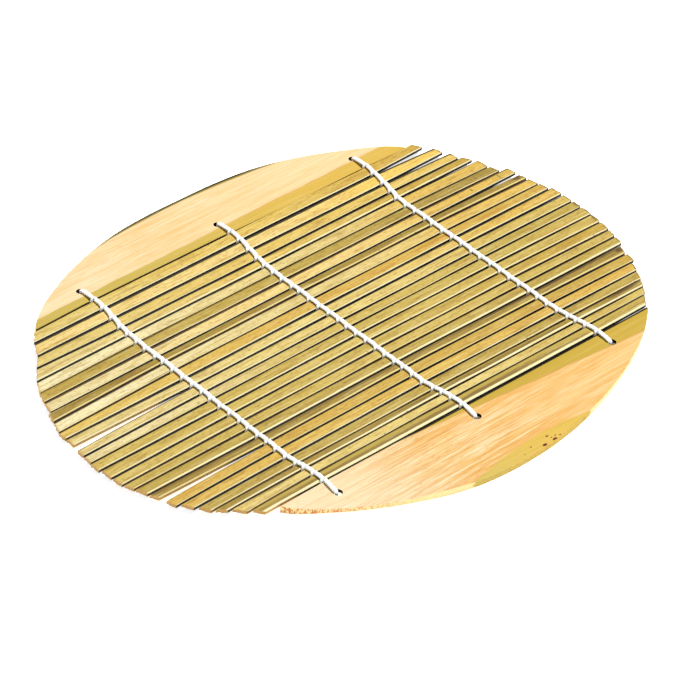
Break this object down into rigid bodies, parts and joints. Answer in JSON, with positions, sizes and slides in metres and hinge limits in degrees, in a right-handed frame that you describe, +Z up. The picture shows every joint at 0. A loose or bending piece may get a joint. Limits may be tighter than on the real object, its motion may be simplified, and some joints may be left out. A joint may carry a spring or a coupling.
{
  "type": "oval bamboo mat",
  "caption": "Flat oval table mat of split bamboo strips between two wide end slats, tied by twined white cotton cords, to set dishes or cups on.",
  "frame": {"origin": "centre of the mat's outline, on the surface that it lies on", "axes": "+X along the strips, +Y across them from the wider end slat to the narrower one, +Z up"},
  "size_m": [0.209, 0.1636, 0.0036],
  "materials": {
    "golden_bamboo": "golden bamboo, skin side up, satin, with fine lengthwise fibres",
    "olive_bamboo": "olive bamboo skin, satin, with fine fibres and brown specks",
    "pale_bamboo": "pale cream bamboo, satin, with fine lengthwise fibres",
    "planed_bamboo": "planed bamboo wood, matt, with orange streaks, skin left along its edges",
    "cotton_cord": "white twisted cotton, matt"
  },
  "bodies": {
    "root": {"strip_01": "golden_bamboo", "strip_02": "golden_bamboo", "strip_03": "golden_bamboo", "strip_04": "golden_bamboo", "strip_05": "pale_bamboo", "strip_06": "olive_bamboo", "strip_07": "pale_bamboo", "strip_08": "olive_bamboo", "strip_09": "pale_bamboo", "strip_10": "golden_bamboo", "strip_11": "pale_bamboo", "strip_12": "pale_bamboo", "strip_13": "pale_bamboo", "strip_14": "golden_bamboo", "strip_15": "olive_bamboo", "strip_16": "olive_bamboo", "strip_17": "golden_bamboo", "strip_18": "olive_bamboo", "strip_19": "olive_bamboo", "strip_20": "golden_bamboo", "strip_21": "golden_bamboo", "strip_22": "golden_bamboo", "strip_23": "olive_bamboo", "strip_24": "pale_bamboo", "strip_25": "olive_bamboo", "end_slat_far": "planed_bamboo", "end_slat_near": "planed_bamboo", "cord_left": "cotton_cord", "cord_middle": "cotton_cord", "cord_right": "cotton_cord"}
  },
  "joints": []
}
